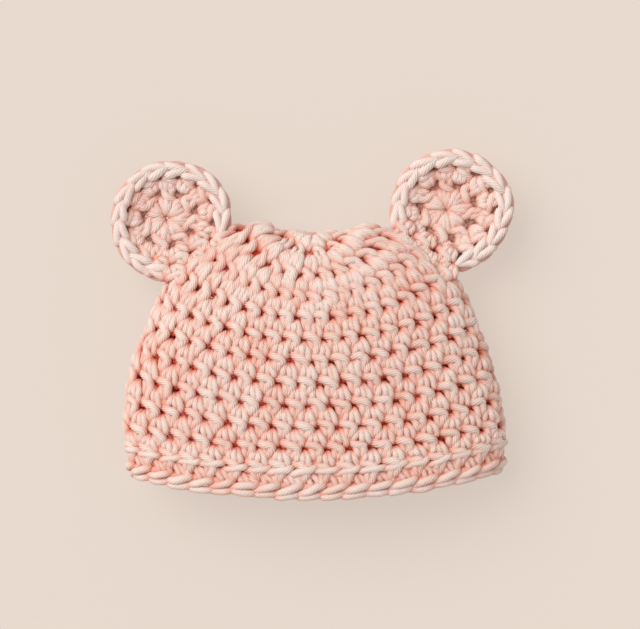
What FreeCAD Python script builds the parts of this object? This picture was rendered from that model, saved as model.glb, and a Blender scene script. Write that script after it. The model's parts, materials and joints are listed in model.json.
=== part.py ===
import FreeCAD, Part
import math
import os

import Sketcher

# A crocheted baby hat with two round ears, lying flat on its back panel.
# +X runs toward the right ear, +Y from the brim to the crown, +Z up from the rest face at z = 0.

doc = FreeCAD.newDocument("BabyHat")

# ---------------------------------------------------------------- driving dimensions
DIMENSIONS = [
    ("overall_half_length", 94.0, "half of the width across both ears"),
    ("overall_half_depth", 80.0, "half of the distance from the brim edge to the top of the right ear"),
    ("wall", 7.0, "thickness of the crocheted fabric"),
    ("mid_height", 22.0, "height of the hat's side edges, where the front panel turns into the back panel"),
    ("cavity_end", 35.5, "where the inside of the hat ends, below the crown"),
    ("cavity_end_width", 33.0, "half width of the inside at that end"),
    ("cavity_end_depth", 6.5, "half thickness of the inside at that end"),
    ("crown_arc_radius", 123.0, "curve of the round that ends the crown"),
    ("crown_arc_bottom", 1.5, "lowest point of that curve on the centre line"),
    ("brim_arc_radius", 325.0, "curve of the brim's bottom edge"),
    ("ridge_width", 5.0, "width of the raised chain above the brim"),
    ("ridge_rise", 1.5, "how far both chains stand out of the fabric"),
    ("band_width", 8.0, "width of the band between the two chains"),
    ("edge_width", 4.0, "width of the chain along the bottom edge"),
    ("magic_ring_radius", 5.0, "outer radius of the crown's starting ring"),
    ("magic_ring_hole", 1.6, "radius of the hole in the starting ring"),
    ("magic_ring_depth", 6.5, "depth of the starting ring, front to inside"),
    ("tail_radius", 1.4, "radius of the yarn"),
    ("crown_tail_length", 34.0, "length of the starting yarn end, sewn along the inside of the crown"),
    ("brim_tail_length", 40.0, "length of the finishing yarn end, sewn along the inside of the brim"),
    ("seam_angle", 32.3, "slope of each ear's seam from the X axis"),
    ("seam_length", 32.0, "length of the row of stitches that holds an ear"),
    ("seam_radius", 2.8, "half thickness of that row"),
    ("seam_reach", 9.0, "how far the row reaches back to the crown"),
    ("hinge_gap", 3.3, "distance from the seam's axis to the ear's lower edge"),
    ("ear_ring_radius", 3.4, "outer radius of an ear's starting ring"),
    ("ear_ring_hole", 1.2, "radius of the hole in it"),
    ("ear_rim_width", 6.6, "width of the chain round an ear"),
    ("ear_thickness", 5.0, "thickness of an ear's fabric"),
    ("ear_dish", 2.2, "how far the middle of an ear lies below its rim"),
    ("ear_rim_rise", 0.9, "how far the rim stands out of the ear's face and back"),
    ("left_ear_radius", 27.6, "outer radius of the left ear"),
    ("left_ear_height", 47.8, "Y of the left ear's centre"),
    ("left_ear_to_seam", 18.1, "distance from the left ear's centre to its seam"),
    ("right_ear_radius", 28.8, "outer radius of the right ear"),
    ("right_ear_to_seam", 20.1, "distance from the right ear's centre to its seam"),
]

# Cross-sections of the hat from the brim to the crown: Y, half width in X, half thickness in Z.
SECTIONS = [
    (-84.0, 83.0, 24.0),
    (-66.0, 87.5, 25.5),
    (-42.0, 88.0, 26.0),
    (-18.0, 83.5, 26.0),
    (2.0, 76.0, 25.0),
    (17.0, 68.0, 22.5),
    (26.0, 58.5, 20.0),
    (34.0, 46.5, 16.5),
    (40.0, 35.5, 12.0),
    (44.0, 24.0, 7.0),
]
LAST_INNER_SECTION = 6

sheet = doc.addObject("Spreadsheet::Sheet", "Sheet")
row = 1
for alias, value, note in DIMENSIONS:
    sheet.set(f"A{row}", alias)
    sheet.set(f"B{row}", str(value))
    sheet.set(f"C{row}", note)
    sheet.setAlias(f"B{row}", alias)
    row += 1
for index, section in enumerate(SECTIONS):
    for column, quantity, value in zip("BCD", ("place", "width", "depth"), section):
        sheet.set(f"{column}{row}", str(value))
        sheet.setAlias(f"{column}{row}", f"section_{quantity}_{'abcdefghij'[index]}")
    sheet.set(f"A{row}", f"section {index}")
    row += 1
doc.recompute()

# Rotation that turns a flat ellipse or a cylinder's axis from Z to -Y.
ACROSS = FreeCAD.Rotation(FreeCAD.Vector(1, 0, 0), 90)
BIG = 400.0


def bind(thing, **expressions):
    """Bind an object's properties to the sheet; a double underscore stands for a dot."""
    for name, expression in expressions.items():
        thing.setExpression(name.replace("__", "."), expression)
    return thing


def add(kind, name, **expressions):
    return bind(doc.addObject(kind, name), **expressions)


def boolean(kind, name, base, tool):
    """Part::Cut or Part::Common of two objects."""
    result = doc.addObject(kind, name)
    if kind == "Part::MultiCommon":
        result.Shapes = [base, tool]
    else:
        result.Base = base
        result.Tool = tool
    return result


def cut(name, base, tool):
    return boolean("Part::Cut", name, base, tool)


def common(name, base, tool):
    return boolean("Part::MultiCommon", name, base, tool)


# ---------------------------------------------------------------- the hat's wall
def ellipse(name, place, width, depth):
    """One elliptical cross-section of the hat, standing in the XZ plane."""
    section = doc.addObject("Part::Ellipse", name)
    section.Placement = FreeCAD.Placement(FreeCAD.Vector(0, 0, 0), ACROSS)
    bind(
        section,
        MajorRadius=width,
        MinorRadius=depth,
        Placement__Base__y=place,
        Placement__Base__z="Sheet.mid_height",
    )
    return section


def loft(name, count, growth, end=None):
    """A solid through the first cross-sections, each grown by the expression given."""
    sections = []
    for letter in "abcdefghij"[:count]:
        sections.append(
            ellipse(
                f"{name}_{letter}",
                f"Sheet.section_place_{letter}",
                f"Sheet.section_width_{letter} + {growth}",
                f"Sheet.section_depth_{letter} + {growth}",
            )
        )
    if end:
        sections.append(ellipse(f"{name}_end", *end))
    solid = doc.addObject("Part::Loft", name)
    solid.Sections = sections
    solid.Solid = True
    return solid


def above(name, height):
    """A block that fills everything above a height, to flatten what rests on the table."""
    block = add("Part::Box", name, Placement__Base__z=height)
    block.Length = BIG
    block.Width = BIG
    block.Height = BIG
    block.Placement.Base = FreeCAD.Vector(-BIG / 2, -BIG / 2, 0)
    return block


def upright_cylinder(name, radius, lowest):
    """A cylinder about a Z axis on the centre line: its -Y side crosses that line at Y = lowest."""
    cylinder = add(
        "Part::Cylinder", name, Radius=radius, Placement__Base__y=f"{lowest} + {radius}"
    )
    cylinder.Height = BIG
    cylinder.Placement.Base.z = -BIG / 2
    return cylinder


outside = common("outside", loft("outer_loft", len(SECTIONS), "0"), above("over_table", "0"))
raised = common("raised", loft("raised_loft", len(SECTIONS), "Sheet.ridge_rise"), above("over_table_too", "0"))
cavity_end = ("Sheet.cavity_end", "Sheet.cavity_end_width", "Sheet.cavity_end_depth")
cavity_loft = loft("cavity_loft", LAST_INNER_SECTION, "(0 - Sheet.wall)", cavity_end)
cavity = common("cavity", cavity_loft, above("over_back_panel", "Sheet.wall"))

# Each round of stitches is a circle about the crown's centre, so on the flat hat its edge is an arc.
EDGE = "(0 - Sheet.overall_half_depth)"
crown_arc = upright_cylinder("crown_arc", "Sheet.crown_arc_radius", "Sheet.crown_arc_bottom")


def brim_arc(name, *widths):
    """An arc concentric with the bottom edge, above it by the sum of the widths."""
    inset = " + ".join(["0", *widths])
    return upright_cylinder(name, f"(Sheet.brim_arc_radius - ({inset}))", f"({EDGE} + {inset})")


edge_bottom = brim_arc("edge_bottom")
band_bottom = brim_arc("band_bottom", "Sheet.edge_width")
ridge_bottom = brim_arc("ridge_bottom", "Sheet.edge_width", "Sheet.band_width")
side_bottom = brim_arc("side_bottom", "Sheet.edge_width", "Sheet.band_width", "Sheet.ridge_width")

wall = cut("wall", outside, cavity)
raised_wall = cut("raised_wall", raised, cavity)


def ring_of(name, solid, lower, upper):
    """The part of a wall between two arcs."""
    return cut(name, common(f"{name}_down_to", solid, lower), upper)


side = ring_of("side", wall, side_bottom, crown_arc)
brim_ridge_chain = ring_of("brim_ridge_chain", raised_wall, ridge_bottom, side_bottom)
brim_band = ring_of("brim_band", wall, band_bottom, ridge_bottom)
brim_edge_chain = ring_of("brim_edge_chain", raised_wall, edge_bottom, band_bottom)

ring_bore = add(
    "Part::Cylinder",
    "ring_bore",
    Radius="Sheet.magic_ring_radius",
    Placement__Base__z="Sheet.mid_height",
)
ring_bore.Height = 30.0
ring_bore.Placement = FreeCAD.Placement(FreeCAD.Vector(0, 55, 0), ACROSS)
crown = cut("crown", common("crown_wall", wall, crown_arc), ring_bore)


# ---------------------------------------------------------------- turned pieces: rings, ear faces, ear rims
def origin_plane(body, role):
    return next(f for f in body.Origin.OriginFeatures if f.Role == role)


def polygon_sketch(body, name, plane, corners):
    """A closed polygon; each corner is a pair of expressions, its distances from the sketch's origin."""
    sketch = body.newObject("Sketcher::SketchObject", name)
    sketch.AttachmentSupport = [(origin_plane(body, plane), "")]
    sketch.MapMode = "FlatFace"
    count = len(corners)
    for i in range(count):
        start = FreeCAD.Vector(10 + 5 * math.cos(2 * math.pi * i / count), 10 + 5 * math.sin(2 * math.pi * i / count))
        j = i + 1
        end = FreeCAD.Vector(10 + 5 * math.cos(2 * math.pi * j / count), 10 + 5 * math.sin(2 * math.pi * j / count))
        sketch.addGeometry(Part.LineSegment(start, end), False)
    for i in range(count):
        sketch.addConstraint(Sketcher.Constraint("Coincident", i, 2, (i + 1) % count, 1))
    for i, (across, up) in enumerate(corners):
        for kind, expression in (("DistanceX", across), ("DistanceY", up)):
            number = sketch.addConstraint(Sketcher.Constraint(kind, -1, 1, i, 1, 10.0))
            sketch.renameConstraint(number, f"{kind}_{i}")
            sketch.setExpression(f"Constraints.{kind}_{i}", expression)
    return sketch


def turned(name, corners):
    """A body turned about its own Z axis from a polygon of radii and heights."""
    body = doc.addObject("PartDesign::Body", name)
    sketch = polygon_sketch(body, f"{name}_profile", "XZ_Plane", corners)
    revolution = body.newObject("PartDesign::Revolution", f"{name}_turned")
    revolution.Profile = sketch
    revolution.ReferenceAxis = (sketch, ["V_Axis"])
    revolution.Angle = 360
    sketch.Visibility = False
    body.Tip = revolution
    return body


def ring_profile(outer, hole, low, high):
    """Section of a ring with softened corners."""
    soft = "0.8"
    return [
        (f"{hole} + {soft}", low),
        (f"{outer}", low),
        (f"{outer}", high),
        (f"{hole} + {soft}", high),
        (f"{hole}", f"{high} - {soft}"),
        (f"{hole}", f"{low} + {soft}"),
    ]


magic_ring = turned(
    "magic_ring",
    ring_profile("Sheet.magic_ring_radius", "Sheet.magic_ring_hole", "1", "1 + Sheet.magic_ring_depth"),
)
magic_ring.Placement = FreeCAD.Placement(FreeCAD.Vector(0, 0, 0), ACROSS)
bind(magic_ring, Placement__Base__y="Sheet.section_place_j + 1", Placement__Base__z="Sheet.mid_height")

# ---------------------------------------------------------------- yarn ends on the inside of the wall
def yarn_end(name, length, place, height, fabric):
    """A yarn end laid along X, half sunk into the inside of the wall and shaped by it."""
    yarn = add(
        "Part::Cylinder",
        f"{name}_yarn",
        Radius="Sheet.tail_radius",
        Height=length,
        Placement__Base__x=f"0 - {length} / 2",
        Placement__Base__z=height,
    )
    yarn.Placement = FreeCAD.Placement(
        FreeCAD.Vector(0, place, 0), FreeCAD.Rotation(FreeCAD.Vector(0, 1, 0), 90)
    )
    return cut(name, yarn, fabric)


TOP_OF_CAVITY = "Sheet.mid_height + Sheet.section_depth_{0} - Sheet.wall"
crown_yarn_end = yarn_end(
    "crown_yarn_end", "Sheet.crown_tail_length", 14.0, TOP_OF_CAVITY.format("f") + " + 0.4", crown
)
brim_yarn_end = yarn_end(
    "brim_yarn_end", "Sheet.brim_tail_length", -71.5, TOP_OF_CAVITY.format("b") + " - 0.6", brim_band
)


# ---------------------------------------------------------------- ears
def ear(side_name, turn, centre_x, centre_y, radius, to_seam):
    """One ear: starting ring, dished face and chain rim, cut off straight along its seam."""
    turn_rotation = FreeCAD.Rotation(FreeCAD.Vector(0, 0, 1), turn)
    back = "(Sheet.ear_dish + Sheet.ear_rim_rise)"
    face_radius = f"({radius} - Sheet.ear_rim_width)"
    slope = f"(Sheet.ear_dish * Sheet.ear_ring_radius / {face_radius})"
    thick = "Sheet.ear_thickness"
    rise = "Sheet.ear_rim_rise"
    mid_rim = f"{face_radius} + Sheet.ear_rim_width / 2"
    profiles = {
        "ring": ring_profile(
            "Sheet.ear_ring_radius", "Sheet.ear_ring_hole", rise, f"{rise} + {thick} + {slope}"
        ),
        "face": [
            ("Sheet.ear_ring_radius", rise),
            (face_radius, back),
            (face_radius, f"{back} + {thick}"),
            ("Sheet.ear_ring_radius", f"{rise} + {thick} + {slope}"),
        ],
        "rim": [
            (face_radius, f"{back} - 0.2"),
            (mid_rim, f"{back} - {rise}"),
            (f"{radius}", f"{back} + 1.5"),
            (f"{radius}", f"{back} + {thick} - 1.5"),
            (mid_rim, f"{back} + {thick} + {rise}"),
            (face_radius, f"{back} + {thick} + 0.2"),
        ],
    }
    pieces = []
    for part_name, corners in profiles.items():
        name = f"ear_{side_name}_{part_name}"
        piece = turned(name, corners)
        if part_name != "ring":
            straight_edge(piece, to_seam)
        piece.Placement = FreeCAD.Placement(FreeCAD.Vector(0, 0, 0), turn_rotation)
        bind(
            piece,
            Placement__Base__x=centre_x,
            Placement__Base__y=centre_y,
            Placement__Base__z=f"Sheet.mid_height - {back} - {thick} / 2",
        )
        pieces.append(piece)
    return pieces


def straight_edge(body, to_seam):
    """Cut a turned body off on its -Y side, a clearance short of the seam's axis."""
    body.Document.recompute()
    before = body.Shape.Volume
    sketch = body.newObject("Sketcher::SketchObject", f"{body.Name}_below_seam")
    sketch.AttachmentSupport = [(origin_plane(body, "XY_Plane"), "")]
    sketch.MapMode = "FlatFace"
    corners = [FreeCAD.Vector(x, y) for x, y in ((-60, -20), (60, -20), (60, -60), (-60, -60))]
    for i in range(4):
        sketch.addGeometry(Part.LineSegment(corners[i], corners[(i + 1) % 4]), False)
    for i in range(4):
        sketch.addConstraint(Sketcher.Constraint("Coincident", i, 2, (i + 1) % 4, 1))
    for line, kind in ((1, "Vertical"), (2, "Horizontal"), (3, "Vertical")):
        sketch.addConstraint(Sketcher.Constraint(kind, line))
    sketch.addConstraint(Sketcher.Constraint("Symmetric", 0, 1, 0, 2, -2))
    sketch.addConstraint(Sketcher.Constraint("DistanceX", 0, 1, 0, 2, 120.0))
    sketch.addConstraint(Sketcher.Constraint("DistanceY", 1, 2, 1, 1, 40.0))
    number = sketch.addConstraint(Sketcher.Constraint("DistanceY", 0, 1, -1, 1, 20.0))
    sketch.renameConstraint(number, "seam")
    sketch.setExpression("Constraints.seam", f"{to_seam} - Sheet.hinge_gap")
    pocket = body.newObject("PartDesign::Pocket", f"{body.Name}_seam_cut")
    pocket.Profile = sketch
    pocket.Type = "Length"
    pocket.Length = 30
    pocket.Reversed = True
    sketch.Visibility = False
    body.Tip = pocket
    body.Document.recompute()
    if body.Shape.Volume > 0.99 * before:
        raise RuntimeError(f"{body.Name}: the seam cut removed nothing")


def seam(side_name, turn, centre_x, centre_y, to_seam):
    """The row of stitches that ties an ear to the crown: round toward the ear, flat toward the hat."""
    name = f"ear_{side_name}_seam"
    turn_rotation = FreeCAD.Rotation(FreeCAD.Vector(0, 0, 1), turn)
    outward_x = f"(0 - sin({turn}))"
    outward_y = f"cos({turn})"
    axis_x = f"({centre_x} - {to_seam} * {outward_x})"
    axis_y = f"({centre_y} - {to_seam} * {outward_y})"
    along_x = f"cos({turn})"
    along_y = f"sin({turn})"
    half = "Sheet.seam_length / 2"
    bead = add(
        "Part::Cylinder",
        f"{name}_bead",
        Radius="Sheet.seam_radius",
        Height="Sheet.seam_length",
        Placement__Base__x=f"{axis_x} - {half} * {along_x}",
        Placement__Base__y=f"{axis_y} - {half} * {along_y}",
        Placement__Base__z="Sheet.mid_height",
    )
    bead.Placement.Rotation = turn_rotation.multiply(FreeCAD.Rotation(FreeCAD.Vector(0, 1, 0), 90))
    flap = add(
        "Part::Box",
        f"{name}_flap",
        Length="Sheet.seam_length",
        Width="Sheet.seam_reach",
        Height="2 * Sheet.seam_radius",
        Placement__Base__x=f"{axis_x} - {half} * {along_x} - Sheet.seam_reach * {outward_x}",
        Placement__Base__y=f"{axis_y} - {half} * {along_y} - Sheet.seam_reach * {outward_y}",
        Placement__Base__z="Sheet.mid_height - Sheet.seam_radius",
    )
    flap.Placement.Rotation = turn_rotation
    row_of_stitches = doc.addObject("Part::Fuse", f"{name}_row")
    row_of_stitches.Base = bead
    row_of_stitches.Tool = flap
    return cut(name, row_of_stitches, outside)


LEFT = {
    "turn": sheet.seam_angle,
    "centre_x": "(Sheet.left_ear_radius - Sheet.overall_half_length)",
    "centre_y": "Sheet.left_ear_height",
    "to_seam": "Sheet.left_ear_to_seam",
}
RIGHT = {
    "turn": -sheet.seam_angle,
    "centre_x": "(Sheet.overall_half_length - Sheet.right_ear_radius)",
    "centre_y": "(Sheet.overall_half_depth - Sheet.right_ear_radius)",
    "to_seam": "Sheet.right_ear_to_seam",
}
ear_pieces = ear("left", radius="Sheet.left_ear_radius", **LEFT)
ear_pieces += ear("right", radius="Sheet.right_ear_radius", **RIGHT)
seams = [seam("left", **LEFT), seam("right", **RIGHT)]

doc.recompute()

# ---------------------------------------------------------------- checks and export
hat_pieces = [crown, side, brim_ridge_chain, brim_band, brim_edge_chain]
pieces = [magic_ring, *hat_pieces, crown_yarn_end, brim_yarn_end, *seams, *ear_pieces]

for thing in doc.Objects:
    if "Invalid" in thing.State or "Error" in thing.State:
        raise RuntimeError(f"{thing.Name} failed: {thing.State}")

os.makedirs("parts", exist_ok=True)
for piece in pieces:
    piece.Label = piece.Name
    shape = piece.Shape
    if shape.isNull() or not shape.isValid() or not shape.Solids:
        raise RuntimeError(f"{piece.Label} has no valid solid")
    shape.exportStep(f"parts/{piece.Label}.step")
    box = shape.optimalBoundingBox(False)
    low = f"({box.XMin:.2f}, {box.YMin:.2f}, {box.ZMin:.2f})"
    high = f"({box.XMax:.2f}, {box.YMax:.2f}, {box.ZMax:.2f})"
    print(f"{piece.Label}: {len(shape.Solids)} solid, {shape.Volume / 1000:.2f} cm3, {low} to {high}")
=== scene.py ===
"""A crocheted baby hat with two round ears, lying flat: every stitch is made of plied yarn."""
import json
import math

import bpy
import numpy as np
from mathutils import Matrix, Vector


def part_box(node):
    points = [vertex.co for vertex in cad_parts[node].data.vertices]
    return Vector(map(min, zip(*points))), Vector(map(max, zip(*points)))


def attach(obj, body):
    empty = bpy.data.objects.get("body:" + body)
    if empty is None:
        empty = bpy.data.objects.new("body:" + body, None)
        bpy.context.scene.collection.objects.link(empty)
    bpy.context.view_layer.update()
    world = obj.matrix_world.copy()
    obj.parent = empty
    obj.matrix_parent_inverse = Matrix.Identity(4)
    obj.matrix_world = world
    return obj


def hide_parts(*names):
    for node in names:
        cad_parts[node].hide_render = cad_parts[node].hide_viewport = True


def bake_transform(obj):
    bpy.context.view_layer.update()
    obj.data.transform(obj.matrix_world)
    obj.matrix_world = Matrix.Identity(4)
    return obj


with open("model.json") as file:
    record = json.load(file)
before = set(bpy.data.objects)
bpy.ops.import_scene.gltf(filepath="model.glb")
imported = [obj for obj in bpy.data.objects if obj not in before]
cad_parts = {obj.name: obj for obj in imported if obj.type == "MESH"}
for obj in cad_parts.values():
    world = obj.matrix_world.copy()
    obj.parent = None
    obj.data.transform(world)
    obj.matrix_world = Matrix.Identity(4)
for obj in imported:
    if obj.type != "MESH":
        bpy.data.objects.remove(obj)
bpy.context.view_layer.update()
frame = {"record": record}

MM = 0.001                # lengths are in millimetres, and become metres where the objects are made
UP = np.array([0.0, 0.0, 1.0])
TOWARD_CROWN = np.array([0.0, 1.0, 0.0])
SEED = 20
rng = np.random.default_rng(SEED)


def node_box(name):
    """A CAD node's lowest and highest corners, in millimetres."""
    low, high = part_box(name)
    return np.array(low) / MM, np.array(high) / MM


def joint(name):
    """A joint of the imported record: its position in millimetres and its unit axis."""
    for entry in frame["record"]["behaviour"]["joints"]:
        if entry["name"] == name:
            return np.array(entry["pos_m"]) / MM, np.array(entry["axis"])
    raise KeyError(name)


def unit(v):
    return v / np.maximum(np.linalg.norm(v, axis=-1, keepdims=True), 1e-9)


def soft_floor(z, floor, softness):
    """The height z where it is well over the floor; near the floor it levels out gradually."""
    return floor + softness * np.logaddexp(0, (z - floor) / softness)


def catmull_rom(points, count):
    """A smooth line through each row of control points (strands, points, 3): count samples per strand."""
    n = points.shape[1]
    first = 2 * points[:, :1] - points[:, 1:2]
    last = 2 * points[:, -1:] - points[:, -2:-1]
    p = np.concatenate([first, points, last], axis=1)
    where = np.linspace(0, n - 1 - 1e-6, count)
    i = where.astype(int)
    f = (where - i)[None, :, None]
    a, b, c, d = p[:, i], p[:, i + 1], p[:, i + 2], p[:, i + 3]
    return 0.5 * (2 * b + (c - a) * f + (2 * a - 5 * b + 4 * c - d) * f**2 + (3 * b - a - 3 * c + d) * f**3)


def hermite(xs, ys, x):
    """Smooth interpolation without overshoot worth noticing."""
    xs, ys = np.asarray(xs, float), np.asarray(ys, float)
    slope = np.gradient(ys, xs)
    i = np.clip(np.searchsorted(xs, x) - 1, 0, len(xs) - 2)
    w = xs[i + 1] - xs[i]
    f = np.clip((x - xs[i]) / w, -0.5, 1.5)
    return (
        ys[i] * (2 * f**3 - 3 * f**2 + 1)
        + slope[i] * w * (f**3 - 2 * f**2 + f)
        + ys[i + 1] * (3 * f**2 - 2 * f**3)
        + slope[i + 1] * w * (f**3 - f**2)
    )


# ---------------------------------------------------------------- yarn
YARN_RADIUS = 1.45
PLY_WIDTH = 1.4           # a ply's width round the yarn
FEWEST_PLIES = 5
PLY_SLOPE = 0.8           # how steeply the plies wind: distance round the yarn over distance along it
PLY_PROFILE = {           # one ply's outline across the yarn: share of the radius, groove last
    "fine": (0.97, 1.0, 0.78),
    "plain": (1.0, 0.84),
}
FLATTENING = 0.9          # the yarn is a little flatter against the fabric than it is wide
RING_SPACING = 0.62       # distance between two rings of a strand's mesh
FEWEST_RINGS = 6
END_PROFILE = np.array([0.02, 0.72, 0.94, 1.0])   # share of the radius in the rings from a strand's end
UNSHADED_LEVEL = 4.0          # distance outward from the fabric's middle where the yarn is fully in the open, with no painted shade
FULLY_SHADED_LEVEL = -0.8         # and where it is deep between its neighbours, with full painted shade
TABLE_Z = 0.25            # yarn pressed against the table goes no lower than this
TABLE_SOFTNESS = 0.5


def strand_frames(paths, up, closed):
    """The two directions across each strand: sideways in the fabric, and outward from it."""
    if closed:
        tangent = unit(np.roll(paths, -1, axis=1) - np.roll(paths, 1, axis=1))
    else:
        tangent = unit(np.gradient(paths, axis=1))
    side = unit(np.cross(tangent, up))
    for k in range(1, paths.shape[1]):
        # Carry the frame along the strand, so that it doesn't flip where the yarn dives into the fabric.
        along = tangent[:, k]
        before = side[:, k - 1]
        level = side[:, k]
        carried = before - along * np.sum(before * along, axis=1, keepdims=True)
        sense = np.where(np.sum(carried * level, axis=1, keepdims=True) < 0, -1, 1)
        lying = 1 - np.abs(np.sum(along * up[:, k], axis=1, keepdims=True))
        side[:, k] = unit(carried + level * sense * np.clip(lying * 2, 0, 1))
    return side, np.cross(side, tangent)


class Yarn:
    """Collects strands of yarn and turns them into one mesh object."""

    def __init__(self, inside=0.0):
        """inside is how much more painted shade the yarn gets on the fabric's inner side."""
        self.inside = inside
        self.vertices, self.faces, self.uvs, self.depths, self.grooves = [], [], [], [], []
        self.count = 0

    def add(self, paths, up, radius, out, shade_offset=0.0, detail="fine", closed=False):
        """Add strands: paths and up are (strands, samples, 3); radius and out are (strands, samples).

        out is the distance outward from the fabric's middle, and sets the painted shade: the further out, the
        lighter.
        The shade offset counts as more of it when the painted shade is chosen: the more, the paler the yarn.
        It is one value, or one for each sample.
        """
        strands, samples, _ = paths.shape
        side, height = strand_frames(paths, up, closed)
        step = np.linalg.norm(np.diff(paths, axis=1), axis=2)
        length = np.concatenate([np.zeros((strands, 1)), np.cumsum(step, axis=1)], axis=1)[..., None]
        profile = np.array(PLY_PROFILE[detail])
        thickness = np.median(radius)
        segments = len(profile) * max(FEWEST_PLIES, round(2 * math.pi * thickness / PLY_WIDTH))
        columns = np.arange(segments)
        start = rng.uniform(0, 2 * math.pi, (strands, 1, 1))
        turns = PLY_SLOPE / (2 * math.pi * thickness)
        if closed:
            # A whole number of turns, so that the plies meet.
            turns = np.round(length[:, -1:] * turns) / length[:, -1:]
        else:
            from_end = np.minimum(np.arange(samples), np.arange(samples)[::-1])
            radius = radius * END_PROFILE[np.minimum(from_end, len(END_PROFILE) - 1)]
        angle = start + 2 * math.pi * (columns / segments + length * turns)
        lobe = profile[columns % len(profile)]
        reach = radius[..., None] * lobe
        offset = (
            side[:, :, None] * (reach * np.cos(angle))[..., None]
            + height[:, :, None] * (reach * np.sin(angle) * FLATTENING)[..., None]
        )
        ring = paths[:, :, None] + offset
        ring[..., 2] = soft_floor(ring[..., 2], TABLE_Z, TABLE_SOFTNESS)
        level = out[..., None] + np.sum(offset * up[:, :, None], axis=-1)
        # The fabric's inner side lies in the open too: there the level rises again toward the inside and the
        # painted shade lightens, less so the larger self.inside is.
        level = np.maximum(level, FULLY_SHADED_LEVEL - self.inside - level)
        level = level + np.broadcast_to(shade_offset, out.shape)[..., None]
        # Painted shade: none where the yarn is in the open, full where it is deep between its neighbours.
        depth = np.clip((UNSHADED_LEVEL - level) / (UNSHADED_LEVEL - FULLY_SHADED_LEVEL), 0, 1)
        index = self.count + np.arange(strands * samples * segments).reshape(strands, samples, segments)
        here, there = (index, np.roll(index, -1, axis=1)) if closed else (index[:, :-1], index[:, 1:])
        quads = np.stack([here, np.roll(here, -1, axis=2), np.roll(there, -1, axis=2), there], axis=-1)
        along = np.broadcast_to(length, angle.shape)
        unwound = angle - 2 * math.pi * length * turns
        self.vertices.append(ring.reshape(-1, 3))
        self.faces.append(quads.reshape(-1, 4))
        self.uvs.append(np.stack([along, unwound], axis=-1).reshape(-1, 2))
        self.depths.append(depth.reshape(-1))
        self.grooves.append(np.broadcast_to(lobe == profile.min(), angle.shape).reshape(-1))
        self.count += strands * samples * segments

    def build(self, name, material):
        """The mesh object, in metres."""
        vertices = np.concatenate(self.vertices) * MM
        faces = np.concatenate(self.faces)
        mesh = bpy.data.meshes.new(name)
        mesh.vertices.add(len(vertices))
        mesh.vertices.foreach_set("co", vertices.astype(np.float32).ravel())
        mesh.loops.add(faces.size)
        mesh.loops.foreach_set("vertex_index", faces.astype(np.int32).ravel())
        mesh.polygons.add(len(faces))
        mesh.polygons.foreach_set("loop_start", np.arange(0, faces.size, 4, dtype=np.int32))
        mesh.polygons.foreach_set("use_smooth", np.ones(len(faces), dtype=bool))
        mesh.update(calc_edges=True)
        uv = mesh.uv_layers.new(name="yarn")
        uv.data.foreach_set("uv", np.concatenate(self.uvs)[faces.ravel()].astype(np.float32).ravel())
        # The painted shade, and the mask of the ply grooves, are kept on the mesh for the material.
        for attribute, values in (("depth", self.depths), ("groove", self.grooves)):
            layer = mesh.attributes.new(attribute, "FLOAT", "POINT")
            layer.data.foreach_set("value", np.concatenate(values).astype(np.float32))
        mesh.materials.append(material)
        thing = bpy.data.objects.new(name, mesh)
        bpy.context.scene.collection.objects.link(thing)
        return thing


def yarn_ring(centre, radius, across, up, thickness, out, samples):
    """A closed ring of yarn in the plane of the X axis and the direction across."""
    turn = np.linspace(0, 2 * math.pi, samples + 1)[:-1, None]
    ring = centre + (radius * np.cos(turn) * np.array([1.0, 0, 0]) + radius * np.sin(turn) * across)
    yarn = Yarn()
    yarn.add(
        ring[None], np.broadcast_to(up, (1, samples, 3)), np.full((1, samples), thickness),
        np.full((1, samples), out), closed=True,
    )
    return yarn


# ---------------------------------------------------------------- the hat's fabric as a surface
BRIM_Y = node_box("brim_edge_chain")[0][1]
CROWN_Y = node_box("crown")[1][1]
MID_Z = joint("ear_left_fold")[0][2]
WALL = 7.0
TOP_Y = CROWN_Y - 3.0     # the fabric's middle where it folds over at the top
HALF_DEPTH = 22.5         # half the distance between the middles of the front and back panels
DEPTH_FADES_FROM = -20.0  # above this Y the hat thins toward the crown's fold
BACK_Z = WALL / 2         # the middle of the back panel where it rests on the table
BACK_SOFTNESS = 1.2

# Outline of the fabric's middle: Y and half width, brim to crown.
OUTLINE = np.array([
    (-84.0, 80.5), (-66.0, 84.0), (-42.0, 84.5), (-18.0, 80.2), (2.0, 73.0), (17.0, 65.5),
    (26.0, 58.0), (34.0, 50.0), (38.5, 43.5), (41.0, 36.0),
])
# Each round's lower edge: Y on the centre line, and the curvature of its arc (1 over its radius).
ROUND_Y = np.array([
    TOP_Y, 31.7, 20.7, 10.8, 1.4, -8.3, -17.9, -28.1, -38.2, -47.8, -57.4, -66.6, BRIM_Y, -93.0,
])
ROUND_CURVE = 1 / np.array([8.0, 20, 41, 65, 110, 150, 185, 215, 255, 310, 360, 330, 325, 325])
ROUND_NUMBER = np.arange(len(ROUND_Y))

FOLD_FROM = 22.0          # above this Y the top of the hat waves up and down
FOLD_LIFT = 0.9
FOLD_WAVE = 1.4
FOLD_CREST_X = -27.0
FOLD_WAVE_LENGTH = 52.0
BRIM_FROM = -20.0         # below this Y the brim is fuller on the right and hangs lower on the left
BRIM_FADE = 45.0
BRIM_HALF_WIDTH = 85.0
BRIM_HANG = 2.6
BRIM_SHIFT = 0.9
BRIM_FULLNESS = 1.2
WAVINESS = 0.6            # how much of the fabric's waves shows in the hat

# The surface is a grid: points round each loop, and loops at these numbers of rounds from the crown's centre.
GRID_U = 720
GRID_V = np.concatenate([np.linspace(0.06, 1, 15)[:-1], np.linspace(1, 12.5, 185)])
SEARCH_STEPS = 6001
ARC_STEPS = 400


def half_width(y):
    return np.maximum(hermite(OUTLINE[:, 0], OUTLINE[:, 1], y), 1.0)


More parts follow.
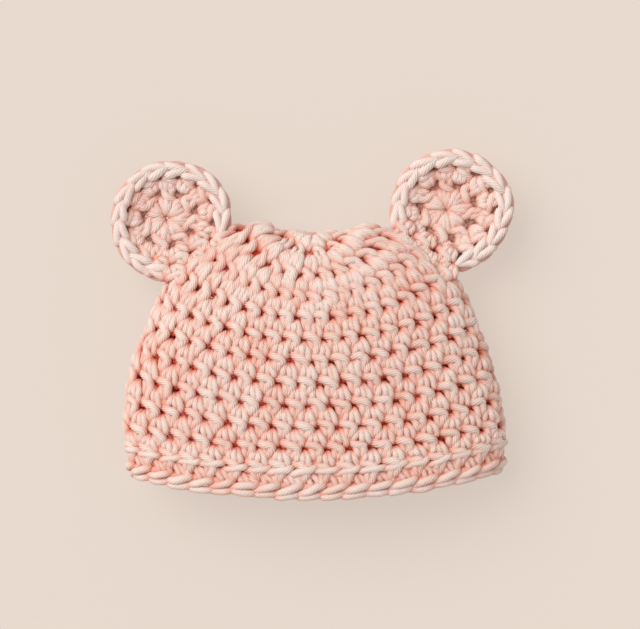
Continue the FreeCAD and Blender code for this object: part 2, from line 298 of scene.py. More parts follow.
def half_height(x, y):
    """Height of the front panel's middle over the hat's mid plane; zero outside the outline."""
    up = np.clip((y - DEPTH_FADES_FROM) / (TOP_Y - DEPTH_FADES_FROM), 0, 1)
    across = np.clip(np.abs(x) / half_width(y), 0, 1)
    return HALF_DEPTH * np.sqrt(1 - up**2) * np.sqrt(1 - across**2)


def uneven(loop):
    """Move a loop's points: waves along the top, and a brim that isn't the same on both sides."""
    near_top = np.clip((loop[:, 1] - FOLD_FROM) / (TOP_Y - FOLD_FROM), 0, 1) ** 2
    wave = np.cos(2 * math.pi * (loop[:, 0] - FOLD_CREST_X) / FOLD_WAVE_LENGTH)
    loop[:, 1] += near_top * (FOLD_LIFT + FOLD_WAVE * wave)
    near_brim = np.clip((BRIM_FROM - loop[:, 1]) / BRIM_FADE, 0, 1)
    loop[:, 1] -= near_brim * BRIM_HANG * np.clip(-loop[:, 0] / BRIM_HALF_WIDTH, 0, 1) ** 2
    loop[:, 0] += near_brim * (BRIM_SHIFT + BRIM_FULLNESS * np.clip(loop[:, 0] / BRIM_HALF_WIDTH, 0, 1))
    return loop


def loop_at(v):
    """Closed loop of the fabric's middle at v rounds from the crown's centre.

    It starts on the front's centre line and runs to the right. Its front half is an arc that ends at the
    outline, and the back lies under the front, resting on the table.
    """
    lowest = hermite(ROUND_NUMBER, ROUND_Y, v)
    if v < 1:
        radius = v / ROUND_CURVE[1]
    else:
        radius = 1 / hermite(ROUND_NUMBER, ROUND_CURVE, v)
    a = np.linspace(0, math.pi, SEARCH_STEPS)
    x = radius * np.sin(a)
    y = lowest + radius - radius * np.cos(a)
    outside = (y > TOP_Y) | (x > half_width(y))
    last = a[np.argmax(outside)] if outside.any() else math.pi
    a = last * np.sin(np.linspace(0, math.pi / 2, ARC_STEPS))
    x = radius * np.sin(a)
    y = lowest + radius - radius * np.cos(a)
    h = half_height(x, y)
    h[-1] = 0
    right_front = np.stack([x, y, MID_Z + h], axis=1)
    right_back = np.stack([x, y, MID_Z - h], axis=1)[::-1][1:]
    right_back[:, 2] = soft_floor(right_back[:, 2], BACK_Z, BACK_SOFTNESS)
    half = np.concatenate([right_front, right_back])
    left = (half * np.array([-1, 1, 1]))[::-1][1:]
    whole = np.concatenate([half, left])
    run = np.concatenate([[0], np.cumsum(np.linalg.norm(np.diff(whole, axis=0), axis=1))])
    even = np.linspace(0, run[-1], GRID_U + 1)[:-1]
    return uneven(np.stack([np.interp(even, run, whole[:, k]) for k in range(3)], axis=1))


def waves(points):
    """Gentle unevenness of soft fabric: three waves that cross one another."""
    x, y, z = points[..., 0], points[..., 1], points[..., 2]
    return (
        0.55 * np.sin(x / 17 + 0.6) * np.cos(y / 21 + z / 30)
        + 0.4 * np.sin(y / 13 - x / 29 + 1.9)
        + 0.3 * np.sin(x / 9 + y / 11 + 0.4)
    )


hat_grid = np.stack([loop_at(v) for v in GRID_V])
round_the_hat = np.roll(hat_grid, -1, axis=1) - np.roll(hat_grid, 1, axis=1)
toward_the_brim = np.gradient(hat_grid, GRID_V, axis=0)
hat_normals = unit(np.cross(toward_the_brim, round_the_hat))


def hat_point(u, v, n):
    """Points and outward normals of the hat's fabric.

    u goes once round the hat from 0 to 1, v is in rounds, and n is the distance outward from the middle.
    """
    row = np.interp(v, GRID_V, np.arange(len(GRID_V)))
    i = np.clip(row.astype(int), 0, len(GRID_V) - 2)
    f = (row - i)[..., None]
    column = np.mod(u, 1) * GRID_U
    j = np.floor(column).astype(int)
    g = (column - j)[..., None]
    j0, j1 = j % GRID_U, (j + 1) % GRID_U

    def sample(table):
        above = table[i, j0] * (1 - g) + table[i, j1] * g
        below = table[i + 1, j0] * (1 - g) + table[i + 1, j1] * g
        return above * (1 - f) + below * f

    normal = unit(sample(hat_normals))
    point = sample(hat_grid)
    point = point + normal * (n + WAVINESS * waves(point))[..., None]
    return point, normal


# ---------------------------------------------------------------- stitches
# Control points of one stitch's strands: (along the round in stitches, down the round in rounds, outward).
# The hook went in at (0, 0); the next round's holes lie at about (-0.56, 0.94) and (0.44, 0.94).
LEFT_LEG = [
    (-0.04, 0.00, -2.0), (-0.12, 0.12, 0.7), (-0.23, 0.31, 2.1), (-0.28, 0.50, 1.7), (-0.30, 0.64, 0.2),
]
MIDDLE_LEG = [(0.0, 0.02, -2.0), (0.0, 0.14, 0.9), (0.01, 0.33, 2.4), (0.03, 0.54, 2.0), (0.06, 0.70, 0.4)]
RIGHT_LEG = [
    (0.05, 0.00, -2.0), (0.13, 0.12, 0.8), (0.23, 0.32, 2.3), (0.29, 0.54, 2.2), (0.31, 0.69, 1.2),
    (0.32, 0.80, -1.6),
]
FRONT_HOOK = [
    (-0.60, 0.54, -1.6), (-0.50, 0.63, 0.4), (-0.22, 0.72, 1.8), (0.02, 0.81, 2.1), (0.11, 0.94, 1.8),
    (0.07, 1.12, 1.5), (-0.05, 1.30, 0.9), (-0.13, 1.46, -0.8),
]
LOBE = [(-0.34, 0.80, -0.4), (-0.22, 0.94, 1.2), (-0.18, 1.14, 1.7), (-0.19, 1.34, 1.0), (-0.22, 1.50, -0.8)]
CROWN_HOOK = [
    (-0.48, 0.60, -1.4), (-0.36, 0.68, 0.0), (-0.10, 0.76, 1.2), (0.08, 0.90, 1.4), (0.08, 1.10, 1.5),
    (0.00, 1.30, 1.0), (-0.06, 1.46, -0.6),
]
NARROW_HOOK = [
    (-0.86, 0.50, -1.6), (-0.66, 0.60, 0.2), (-0.30, 0.74, 1.7), (0.02, 0.88, 2.0), (0.10, 1.06, 1.7),
    (0.04, 1.26, 1.0), (-0.04, 1.44, -0.8),
]
CROWN_LEG = [(0.42, 0.10, -1.0), (0.45, 0.26, 1.2), (0.48, 0.48, 1.8), (0.49, 0.70, 1.0), (0.49, 0.86, -1.0)]
# Strands in the fabric's thickness, on its inner side, and in the joint between two rounds.
CORE = [(0.0, 0.04, -1.4), (0.02, 0.35, 0.2), (0.03, 0.66, 0.2), (0.02, 0.88, -1.4)]
SIDE_CORE = [(-0.50, 0.12, -1.8), (-0.48, 0.30, -0.6), (-0.46, 0.50, -0.6), (-0.46, 0.68, -1.8)]
INNER_BAR = [(-0.60, 0.88, -0.9), (-0.30, 0.80, -1.7), (0.10, 0.78, -1.8), (0.50, 0.88, -0.9)]
INNER_LEG = [(0.12, 0.0, -0.4), (0.10, 0.20, -1.4), (0.04, 0.50, -1.8), (0.0, 0.84, -0.6)]
INNER_LEG_2 = [(-0.22, 0.02, -0.4), (-0.34, 0.20, -1.4), (-0.40, 0.45, -1.8), (-0.42, 0.80, -0.6)]
ROUND_JOIN = [(-0.60, 0.96, -2.2), (-0.20, 0.98, -2.0), (0.20, 0.98, -2.0), (0.60, 0.96, -2.2)]

# Ridge chain, band and edge chain of the brim.
RIDGE_LINK = [
    (-0.62, 1.02, -0.4), (-0.48, 1.03, 1.5), (-0.12, 1.01, 2.6), (0.26, 0.94, 2.8), (0.48, 0.89, 1.8),
    (0.58, 0.89, 0.0),
]
BAND_LEG = [
    (-0.30, 0.08, -0.6), (-0.24, 0.16, 0.6), (-0.12, 0.32, 1.3), (-0.02, 0.48, 1.2), (0.02, 0.64, -0.4),
]
BAND_SLANT = [
    (-0.06, 0.08, -0.6), (0.00, 0.16, 0.8), (0.14, 0.30, 1.5), (0.26, 0.46, 1.1), (0.32, 0.60, -0.4),
]
BAND_CROSS = [(0.26, 0.08, -0.6), (0.30, 0.16, 0.5), (0.38, 0.32, 1.3), (0.50, 0.46, 1.2), (0.56, 0.62, -0.4)]
BAND_BACK = [(-0.62, 0.30, -0.8), (-0.30, 0.24, -0.2), (0.05, 0.24, -0.2), (0.45, 0.30, -0.8)]
BAND_BACK_2 = [(-0.62, 0.60, -0.8), (-0.30, 0.54, -0.2), (0.05, 0.54, -0.2), (0.45, 0.60, -0.8)]
EDGE_FRONT = [
    (-0.70, 0.68, -2.0), (-0.56, 0.70, 0.3), (-0.20, 0.65, 2.0), (0.20, 0.56, 2.4), (0.46, 0.51, 1.4),
    (0.58, 0.52, -0.8),
]
EDGE_BACK = [
    (-0.72, 0.80, -1.6), (-0.50, 0.84, 0.3), (-0.04, 0.83, 0.9), (0.36, 0.78, 0.2), (0.60, 0.74, -1.4),
]

# Chain rim of an ear.
RIM_INNER = [
    (-0.72, 0.54, 0.2), (-0.52, 0.52, 1.8), (-0.12, 0.38, 3.0), (0.28, 0.25, 3.0), (0.52, 0.22, 1.6),
    (0.62, 0.26, -0.2),
]
RIM_OUTER = [
    (-0.72, 0.56, 0.0), (-0.48, 0.58, 1.6), (-0.08, 0.72, 2.1), (0.30, 0.82, 1.5), (0.50, 0.82, 0.4),
    (0.60, 0.76, -0.8),
]
RIM_CORE = [(-0.56, 0.53, 0.6), (-0.20, 0.53, 1.0), (0.20, 0.53, 1.0), (0.56, 0.53, 0.6)]
RIM_BACK = [(-0.56, 0.66, -1.0), (-0.20, 0.72, -1.3), (0.20, 0.72, -1.3), (0.56, 0.66, -1.0)]
RIM_BACK_2 = [(-0.56, 0.18, -1.0), (-0.20, 0.24, -1.3), (0.20, 0.24, -1.3), (0.56, 0.18, -1.0)]

# Motifs: the strands of one stitch with the radius of their yarn.
R = YARN_RADIUS
LEGS = [(LEFT_LEG, 1.12 * R), (MIDDLE_LEG, 1.1 * R), (RIGHT_LEG, 1.14 * R)]
FRONT = [(FRONT_HOOK, 1.5 * R), (LOBE, 1.2 * R)]
CROWN_FRONT = [(CROWN_HOOK, 1.4 * R), (LOBE, 1.1 * R), (CROWN_LEG, 1.1 * R), (ROUND_JOIN, 1.7 * R)]
NARROW = [
    (LEFT_LEG, 1.35 * R), (MIDDLE_LEG, 1.3 * R), (RIGHT_LEG, 1.4 * R), (NARROW_HOOK, 1.5 * R),
    (LOBE, 1.5 * R), (ROUND_JOIN, 1.7 * R),
]
INNER = [
    (CORE, 1.7 * R), (SIDE_CORE, 1.9 * R), (INNER_BAR, 1.3 * R), (INNER_LEG, 1.3 * R), (INNER_LEG_2, 1.3 * R),
]
RIDGE = [(RIDGE_LINK, 1.12 * R)]
BAND = [(BAND_LEG, R), (BAND_SLANT, R), (BAND_CROSS, R), (BAND_BACK, 1.6 * R), (BAND_BACK_2, 1.6 * R)]
EDGE = [(EDGE_FRONT, 1.28 * R), (EDGE_BACK, 1.25 * R)]
EAR_FACE = [
    (LEFT_LEG, 1.2 * R), (MIDDLE_LEG, 1.2 * R), (RIGHT_LEG, 1.2 * R), (FRONT_HOOK, 1.45 * R), (LOBE, 1.3 * R),
    (ROUND_JOIN, 1.3 * R),
]
RIM = [
    (RIM_INNER, 1.3 * R), (RIM_OUTER, 1.28 * R), (RIM_CORE, 1.2 * R), (RIM_BACK, 1.4 * R),
    (RIM_BACK_2, 1.4 * R),
]
SEAM = LEGS + FRONT + [(CORE, 1.5 * R)]

STITCH_WIDTH = 10.0
ROUND_HEIGHT = 10.0
# How much stitches differ: spread of a whole stitch and of each control point (along, down, outward), of the
# lean about the stitch's middle, and of the yarn's thickness.
STITCH_SPREAD = np.array([0.025, 0.025, 0.15])
POINT_SPREAD = np.array([0.024, 0.020, 0.14])
LEAN_SPREAD = 0.06
LEAN_PIVOT = np.array([0.5, 0.0])   # (down, along)
THICKNESS_SPREAD = 0.05
THIN_ENDS = 0.12          # share of its radius that a strand loses toward its ends
EDGE_SHADE_OFFSET = 2.0           # how much lighter the painted shade is past the fabric's edge
EDGE_FADE = 0.3           # and in how much of a round it gets there
PLAIN_BELOW = 1.2         # strands that never count as further out than this get the plain ply profile


def strand_samples(points, cell, row_height):
    """How many rings a strand of this motif needs."""
    steps = np.diff(np.array(points) * np.array([cell, row_height, 1.0]), axis=0)
    return max(FEWEST_RINGS, int(np.linalg.norm(steps, axis=1).sum() / RING_SPACING) + 1)


def work(
    yarn, motifs, surface, first_v, count, phase, cell=STITCH_WIDTH, row_height=ROUND_HEIGHT, indices=None,
    jitter=1.0, relief=1.0, shade_offset=0.0, edge=math.inf,
):
    """Work one round: each motif, a (control points, radius) pair, is repeated for every stitch.

    relief scales how far the strands stand out from the fabric's middle. Beyond the v given as edge the yarn
    lies in the open and its painted shade is lighter, however far it is from the front of the fabric.
    """
    stitches = np.arange(count) if indices is None else np.array(indices)
    sway = rng.normal(0, 1, (len(stitches), 1, 3)) * STITCH_SPREAD * jitter
    lean = rng.normal(0, LEAN_SPREAD * jitter, (len(stitches), 1, 2))
    for points, radius in motifs:
        base = np.broadcast_to(np.array(points, float), (len(stitches), len(points), 3)).copy()
        base[..., :2] += lean * (base[..., 1::-1] - LEAN_PIVOT)
        base += sway + rng.normal(0, 1, base.shape) * POINT_SPREAD * jitter
        path = catmull_rom(base, strand_samples(points, cell, row_height))
        u = (stitches[:, None] + phase + path[..., 0]) / count
        v = first_v + path[..., 1]
        where, up = surface(u, v, path[..., 2] * relief)
        size = radius * (1 + rng.normal(0, THICKNESS_SPREAD, (len(stitches), 1)))
        along = np.linspace(0, 1, path.shape[1])
        thin = 1 - THIN_ENDS * np.abs(2 * along - 1) ** 3
        shade = shade_offset + EDGE_SHADE_OFFSET * np.clip((v - edge) / EDGE_FADE, 0, 1)
        detail = "plain" if path[..., 2].max() + shade.max() < PLAIN_BELOW else "fine"
        yarn.add(where, up, size * thin, path[..., 2], shade, detail)


# ---------------------------------------------------------------- materials
# The yarn's colour in the open, then its painted shade, half and full, where it lies deep between its
# neighbours: redder, as light bounced inside pink yarn is.
PALE_PINK = (0.91, 0.79, 0.72)
# The ears are the same yarn, painted paler in the open: a painted highlight.
EAR_PALE_PINK_AND_HIGHLIGHT = (0.95, 0.83, 0.77)
PAINTED_HALF_SHADE = (0.88, 0.46, 0.36)
EAR_PAINTED_HALF_SHADE = (0.89, 0.54, 0.45)
PAINTED_DEEP_SHADE = (0.80, 0.17, 0.11)
EAR_PAINTED_DEEP_SHADE = (0.60, 0.35, 0.28)
# Painted shade in the grooves between the plies.
PAINTED_GROOVE_SHADE = (0.90, 0.58, 0.49)
HALF_SHADE_DEPTH = 0.44       # shade depth at which the painted shade has its middle colour
FULL_SHADE_DEPTH = 0.88         # and its deepest one
FIBRE_STRETCH = (0.5, 7.0, 1.0)   # along the yarn and round it


def remap(tree, source, from_range, to_range):
    """The output of a node that maps one range of values onto another."""
    node = tree.nodes.new("ShaderNodeMapRange")
    sockets = ("From Min", "From Max", "To Min", "To Max")
    for socket, value in zip(sockets, (*from_range, *to_range)):
        node.inputs[socket].default_value = value
    tree.links.new(source, node.inputs["Value"])
    return node.outputs["Result"]


def attribute_value(tree, name):
    """The output of a node that reads one of the mesh's attributes."""
    node = tree.nodes.new("ShaderNodeAttribute")
    node.attribute_name = name
    return node.outputs["Fac"]


def yarn_material(name, light, half_shade, deep_shade):
    """Soft plied yarn: fibres follow the plies, and painted shade deepens its colour where it dives into the
    fabric.
    """
    material = bpy.data.materials.new(name)
    material.use_nodes = True
    tree = material.node_tree
    nodes, links = tree.nodes, tree.links
    shader = nodes["Principled BSDF"]
    shader.inputs["Roughness"].default_value = 0.9
    shader.inputs["Specular IOR Level"].default_value = 0.08

    uv = nodes.new("ShaderNodeUVMap")
    uv.uv_map = "yarn"
    stretch = nodes.new("ShaderNodeMapping")
    stretch.inputs["Scale"].default_value = FIBRE_STRETCH
    links.new(uv.outputs["UV"], stretch.inputs["Vector"])
    fibres = nodes.new("ShaderNodeTexNoise")
    fibres.inputs["Scale"].default_value = 1.6
    fibres.inputs["Detail"].default_value = 3.0
    fibres.inputs["Roughness"].default_value = 0.6
    links.new(stretch.outputs["Vector"], fibres.inputs["Vector"])

    place = nodes.new("ShaderNodeTexCoord")
    patches = nodes.new("ShaderNodeTexNoise")
    patches.inputs["Scale"].default_value = 60.0
    patches.inputs["Detail"].default_value = 2.0
    links.new(place.outputs["Object"], patches.inputs["Vector"])

    # Painted shade: the colour goes from the yarn's own to the half and full shade as the shade depth grows.
    shade_ramp = nodes.new("ShaderNodeValToRGB")
    ramp = shade_ramp.color_ramp
    ramp.elements[0].color = (*light, 1)
    ramp.elements[1].color = (*deep_shade, 1)
    ramp.elements.new(HALF_SHADE_DEPTH).color = (*half_shade, 1)
    ramp.elements[2].position = FULL_SHADE_DEPTH
    links.new(attribute_value(tree, "depth"), shade_ramp.inputs["Fac"])

    # Painted shade darkens the grooves between the plies, and more so where the fibres are pale.
    groove_shade_share = nodes.new("ShaderNodeMath")
    groove_shade_share.operation = "MULTIPLY"
    links.new(attribute_value(tree, "groove"), groove_shade_share.inputs[0])
    links.new(fibres.outputs["Fac"], groove_shade_share.inputs[1])
    ply = nodes.new("ShaderNodeMix")
    ply.data_type = "RGBA"
    ply.blend_type = "MULTIPLY"
    ply.inputs["B"].default_value = (*PAINTED_GROOVE_SHADE, 1)
    links.new(groove_shade_share.outputs["Value"], ply.inputs["Factor"])
    links.new(shade_ramp.outputs["Color"], ply.inputs["A"])

    vary = nodes.new("ShaderNodeHueSaturation")
    links.new(remap(tree, fibres.outputs["Fac"], (0.3, 0.7), (0.88, 1.09)), vary.inputs["Value"])
    links.new(remap(tree, patches.outputs["Fac"], (0.35, 0.65), (0.92, 1.08)), vary.inputs["Saturation"])
    links.new(ply.outputs["Result"], vary.inputs["Color"])
    links.new(vary.outputs["Color"], shader.inputs["Base Color"])

    bump = nodes.new("ShaderNodeBump")
    bump.inputs["Strength"].default_value = 0.5
    bump.inputs["Distance"].default_value = 0.25 * MM
    links.new(fibres.outputs["Fac"], bump.inputs["Height"])
    links.new(bump.outputs["Normal"], shader.inputs["Normal"])
    return material


hat_yarn = yarn_material("hat_yarn", PALE_PINK, PAINTED_HALF_SHADE, PAINTED_DEEP_SHADE)
# The ears' copy of the yarn: paler, a painted highlight, and with a less red painted shade.
ear_yarn = yarn_material("ear_yarn", EAR_PALE_PINK_AND_HIGHLIGHT, EAR_PAINTED_HALF_SHADE, EAR_PAINTED_DEEP_SHADE)

# ---------------------------------------------------------------- the hat, round by round
BODY_ROUNDS = 11
CROWN_ROUNDS = 4
STITCHES = [0, 12, 24] + 10 * [36]   # in each round; the last is the band
SHIFT = 0.41              # each round starts this much of a stitch further round the hat
# How much painted shade the yarn gets on the hat's inner side.
INSIDE_SHADE = 0.7
# Stitch width, share of the yarn's thickness, front strands, jitter, shade offset (the higher, the lighter
# the painted shade): in the first rounds, and after.
CROWN_STYLE = {
    1: (6.0, 0.85, LEGS + CROWN_FRONT, 1.3, 0.9),
    2: (7.5, 0.95, NARROW, 1.3, 0.1),
    3: (8.0, 1.0, NARROW, 1.3, -0.3),
}
BODY_STYLE = (STITCH_WIDTH, 1.0, LEGS + FRONT, 1.1, 0.0)
# The band's painted shade is lighter.
BAND_SHADE_OFFSET = 0.5
EDGE_JITTER = 0.7
EDGE_FROM = BODY_ROUNDS + 0.6   # past this v the edge chain lies in the open, with lighter painted shade


def add_to_hat(yarn, name, node):
    """Build a piece of the hat's body that stands for a CAD node."""
    piece = yarn.build(name, hat_yarn)
    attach(piece, "hat")
    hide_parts(node)


phase = 0.0
for k in range(1, BODY_ROUNDS + 1):
    cell, thickness, front, jitter, shade_offset = CROWN_STYLE.get(k, BODY_STYLE)
    phase = (phase + SHIFT) % 1
    yarn = Yarn(inside=INSIDE_SHADE)
    motifs = [(points, radius * thickness) for points, radius in front + INNER]
    work(yarn, motifs, hat_point, k - 1, STITCHES[k], phase, cell, jitter=jitter, shade_offset=shade_offset)
    add_to_hat(yarn, f"hat_round_{k}", "crown" if k <= CROWN_ROUNDS else "side")

# The ridge chain lies on the last round of the body, and the edge chain on the band.
ridge = Yarn()
work(ridge, RIDGE, hat_point, BODY_ROUNDS - 1, STITCHES[BODY_ROUNDS], phase)
add_to_hat(ridge, "ridge_chain", "brim_ridge_chain")

phase = (phase + SHIFT) % 1
band = Yarn()
work(band, BAND, hat_point, BODY_ROUNDS, STITCHES[-1], phase, shade_offset=BAND_SHADE_OFFSET)
add_to_hat(band, "brim_band_stitches", "brim_band")

chain = Yarn()
work(chain, EDGE, hat_point, BODY_ROUNDS, STITCHES[-1], phase, jitter=EDGE_JITTER, edge=EDGE_FROM)
add_to_hat(chain, "edge_chain", "brim_edge_chain")

# ---------------------------------------------------------------- starting ring and yarn ends
MAGIC_RING_RADIUS = 2.6
MAGIC_RING_LIFT = 0.5     # how far the ring stands out from the fabric's middle
THIN_YARN = 1.25          # radius of the yarn in the ring and the ends
END_POINTS = 9
END_SAMPLES = 60
END_SWAY = 1.2            # how far an end sways from its line along the fabric, and how far in and out of it
END_DIP = 0.5

crown_top = np.array([0, TOP_Y + MAGIC_RING_LIFT, MID_Z])
magic_ring = yarn_ring(crown_top, MAGIC_RING_RADIUS, UP, TOWARD_CROWN, THIN_YARN, out=1.5, samples=32)
add_to_hat(magic_ring, "starting_ring", "magic_ring")


def yarn_end(name, node):
    """A yarn end sewn along the inside: it dips in and out of the fabric."""
    low, high = node_box(node)
    number = np.arange(END_POINTS)
    x = np.linspace(low[0], high[0], END_POINTS)
    y = (low[1] + high[1]) / 2 + END_SWAY * np.sin(number * 1.9)
    z = (low[2] + high[2]) / 2 + END_DIP * np.cos(number * 2.6)
    path = catmull_rom(np.stack([x, y, z], axis=1)[None], END_SAMPLES)
    inward = np.broadcast_to(-UP, path.shape)
    yarn = Yarn()
    yarn.add(path, inward, np.full((1, END_SAMPLES), THIN_YARN), np.full((1, END_SAMPLES), 1.0))
    add_to_hat(yarn, name, node)


yarn_end("starting_yarn_end", "crown_yarn_end")
yarn_end("finishing_yarn_end", "brim_yarn_end")

# ---------------------------------------------------------------- ears
EAR_OFF_CENTRE = np.array([-2.5, 2.0, 0.0])   # where the rounds start, away from the outline's middle
EAR_PATTERN_RADIUS = 27.6
# Radius at each whole v, as a share of the ear's; the last lies outside it.
EAR_ROUND_RADIUS = np.array([1.0, 13.4, 20.6, EAR_PATTERN_RADIUS, 34.0]) / EAR_PATTERN_RADIUS
EAR_LIFT = 1.5            # height of an ear's edge over the hat's mid plane
EAR_DISH = 4.5            # depth of its dish, and how sharply the dish turns up at the edge
EAR_DISH_POWER = 2.2
EAR_FLATTENED = 0.09      # share of the radius that is missing where the outline is flattened
EAR_FLAT_NARROWNESS = 3.5
EAR_WAVE = 0.35           # three slow waves round the edge
EAR_ROUNDS = [(7, 0.6, 8.0, 11.0), (13, 0.1, 9.0, 8.0)]   # stitches, phase, stitch width and height
EAR_RING_RADIUS = 2.4
EAR_RING_YARN = 1.2
EAR_RING_DROP = 0.6
EAR_JITTER = 1.2
EAR_RELIEF = 0.7
# The ear faces' painted shade is darker.
EAR_SHADE_OFFSET = -0.35
RIM_LINKS = 17
RIM_PHASE = 0.35
RIM_STITCH = (9.0, 7.0)   # width and height of a link
RIM_EDGE = 2.45           # past this v the rim lies in the open, with lighter painted shade
RIM_MIDDLE_SHARE = 0.88   # radius of the rim's middle line, as a share of the ear's
SEAM_LENGTH = 33.0
SEAM_REACH = 6.5          # how far the sewing reaches onto the ear
SEAM_ROWS = 2
SEAM_ROW = 7.0            # height of a row
SEAM_STITCHES = 3
SEAM_STITCH = SEAM_LENGTH / SEAM_STITCHES
SEAM_PHASE = 0.15
SEAM_SHIFT = 0.45         # each row starts this much of a stitch further along
SEAM_LIFT = 1.4           # height of the sewing over the ear's middle, and how much it rises onto the hat
SEAM_RISE = 4.4


def ear_surface(centre, radius, turn, wave, flat):
    """An ear's fabric: u is the angle, v the rounds from its middle, n the distance toward the front.

    The rounds start at the angle turn, wave moves the edge's slow waves round, and flat is the angle at which
    the ear's outline is a little flattened.
    """

    def point(u, v, n):
        a = 2 * math.pi * u + turn
        r = radius * np.interp(v, np.arange(len(EAR_ROUND_RADIUS)), EAR_ROUND_RADIUS)
        share = r / radius
        r = r * (1 - EAR_FLATTENED * np.exp((np.cos(a - flat) - 1) * EAR_FLAT_NARROWNESS))
        dish = EAR_DISH * (share**EAR_DISH_POWER - 1)
        slope = EAR_DISH * EAR_DISH_POWER * share ** (EAR_DISH_POWER - 1) / radius
        out = np.stack([np.cos(a), np.sin(a), np.zeros_like(a)], axis=-1)
        normal = unit(np.stack([-np.cos(a) * slope, -np.sin(a) * slope, np.ones_like(a)], axis=-1))
        place = centre + out * r[..., None] + EAR_OFF_CENTRE * np.clip(1 - share, 0, 1)[..., None]
        place[..., 2] += dish + EAR_WAVE * np.sin(3 * a + wave) * share
        return place + normal * n[..., None], normal

    return point


def seam_surface(pin, axis, outward):
    """The strip that joins an ear to the hat: u runs along the seam, v from the ear onto the hat."""

    def point(u, v, n):
        across = SEAM_REACH - v * SEAM_ROW
        rise = np.clip(v / SEAM_ROWS, 0, 1.2)
        lift = SEAM_LIFT + SEAM_RISE * rise**2
        slope = SEAM_RISE * rise / SEAM_ROW
        normal = unit(outward * slope[..., None] + UP)
        place = pin + axis * ((u - 0.5) * SEAM_LENGTH)[..., None] + outward * across[..., None]
        place = place + UP * lift[..., None]
        return place + normal * n[..., None], normal

    return point


def build_ear(side, radius, shift, turn, wave, flat):
    """One ear: its ring, face, rim and sewing. shift moves it a little from the place of the CAD's ear."""
    low, high = node_box(f"ear_{side}_rim")
    pin, axis = joint(f"ear_{side}_fold")
    outward = np.cross(UP, axis)
    middle_x = low[0] + radius if side == "left" else high[0] - radius
    centre = np.array([middle_x, high[1] - radius, MID_Z + EAR_LIFT])
    centre[:2] += shift
    surface = ear_surface(centre, radius, turn, wave, flat)

    def finish(yarn, name, node, material=ear_yarn):
        piece = yarn.build(f"ear_{side}_{name}", material)
        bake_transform(piece)
        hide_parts(f"ear_{side}_{node}")

    bottom = centre + EAR_OFF_CENTRE - UP * (EAR_DISH + EAR_RING_DROP)
    ring = yarn_ring(bottom, EAR_RING_RADIUS, TOWARD_CROWN, UP, EAR_RING_YARN, out=0.5, samples=24)
    finish(ring, "starting_ring", "ring")

    face = Yarn()
    for v, (stitches, first, width, height) in enumerate(EAR_ROUNDS):
        work(
            face, EAR_FACE + INNER, surface, v, stitches, first, width, height, jitter=EAR_JITTER,
            relief=EAR_RELIEF, shade_offset=EAR_SHADE_OFFSET,
        )
    finish(face, "face_stitches", "face")

    # The rim has only the links whose middle is on the ear's side of the hinge.
    links = np.arange(RIM_LINKS)
    angle = 2 * math.pi * (links + RIM_PHASE) / RIM_LINKS + turn
    direction = np.cos(angle) * outward[0] + np.sin(angle) * outward[1]
    reach = (centre - pin) @ outward + RIM_MIDDLE_SHARE * radius * direction
    rim = Yarn()
    work(
        rim, RIM, surface, len(EAR_ROUNDS), RIM_LINKS, RIM_PHASE, *RIM_STITCH, indices=links[reach > 0],
        edge=RIM_EDGE,
    )
    finish(rim, "rim_chain", "rim")

    # The sewing covers the seam with short rows of stitches, from the ear down onto the hat.
    seam = Yarn()
    cover = seam_surface(pin, axis, outward)
    for row in range(SEAM_ROWS):
        first = SEAM_PHASE + SEAM_SHIFT * row
        work(seam, SEAM, cover, row, SEAM_STITCHES, first, SEAM_STITCH, SEAM_ROW, jitter=1.1, relief=0.75)
    finish(seam, "seam_stitches", "seam", hat_yarn)


build_ear("left", radius=28.3, shift=(0.6, 0.3), turn=2.1, wave=0.5, flat=-0.7)
build_ear("right", radius=29.0, shift=(-0.3, 0.6), turn=1.2, wave=2.2, flat=-0.75)

# ---------------------------------------------------------------- floor, light and camera
FLOOR_SIZE = 6000.0
FLOOR_DROP = 0.2          # how far the floor is below the hat's rest face
CAMERA_AIM = (3.45, 4.4, 30.0)
CAMERA_HEIGHT = 900.0     # over that point
VIEW_WIDTH = 294.4        # what the camera sees at that point's height
SENSOR_WIDTH = 36.0
NEAREST = 50.0            # the camera sees nothing nearer than this


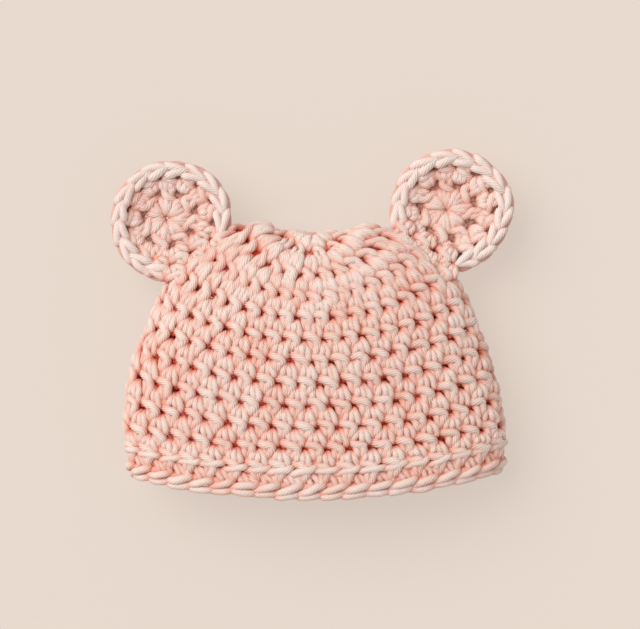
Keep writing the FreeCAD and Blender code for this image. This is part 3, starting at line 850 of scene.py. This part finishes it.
def floor_material():
    """Plain paper that gives some light of its own, so that shadows on it stay soft."""
    material = bpy.data.materials.new("paper")
    material.use_nodes = True
    nodes, links = material.node_tree.nodes, material.node_tree.links
    shader = nodes["Principled BSDF"]
    shader.inputs["Roughness"].default_value = 0.9
    shader.inputs["Specular IOR Level"].default_value = 0.1
    shader.inputs["Emission Color"].default_value = (0.54, 0.468, 0.415, 1)
    shader.inputs["Emission Strength"].default_value = 1.0
    grain = nodes.new("ShaderNodeTexNoise")
    grain.inputs["Scale"].default_value = 900.0
    paper = nodes.new("ShaderNodeMix")
    paper.data_type = "RGBA"
    paper.inputs["A"].default_value = (0.25, 0.22, 0.197, 1)
    paper.inputs["B"].default_value = (0.256, 0.226, 0.202, 1)
    links.new(grain.outputs["Fac"], paper.inputs["Factor"])
    links.new(paper.outputs["Result"], shader.inputs["Base Color"])
    return material


def sun_light(name, direction, angle, strength, colour):
    """Soft light from far away, so that it falls evenly over the whole table."""
    light = bpy.data.lights.new(name, "SUN")
    light.angle = math.radians(angle)
    light.energy = strength
    light.color = colour
    lamp = bpy.data.objects.new(name, light)
    lamp.rotation_euler = Vector(direction).to_track_quat("-Z", "Y").to_euler()
    bpy.context.scene.collection.objects.link(lamp)


def overhead_camera():
    """Straight above the hat: a long lens that sees VIEW_WIDTH at the height of CAMERA_AIM."""
    lens = bpy.data.cameras.new("camera")
    lens.sensor_width = SENSOR_WIDTH
    lens.lens = SENSOR_WIDTH * CAMERA_HEIGHT / VIEW_WIDTH
    lens.clip_start = NEAREST * MM
    camera = bpy.data.objects.new("camera", lens)
    camera.location = Vector(CAMERA_AIM) * MM + Vector((0, 0, CAMERA_HEIGHT * MM))
    bpy.context.scene.collection.objects.link(camera)
    return camera


bpy.ops.mesh.primitive_plane_add(size=FLOOR_SIZE * MM, location=(0, 0, -FLOOR_DROP * MM))
floor = bpy.context.object
floor.name = "floor"
floor.data.materials.append(floor_material())

sun_light("window", direction=(0.62, -0.42, -0.9), angle=50, strength=2.0, colour=(1.0, 0.985, 0.965))

world = bpy.data.worlds.new("studio")
world.use_nodes = True
background = world.node_tree.nodes["Background"]
background.inputs["Color"].default_value = (1.0, 0.985, 0.975, 1)
background.inputs["Strength"].default_value = 0.55
bpy.context.scene.world = world

bpy.context.scene.camera = overhead_camera()
bpy.context.scene.view_settings.view_transform = "Standard"
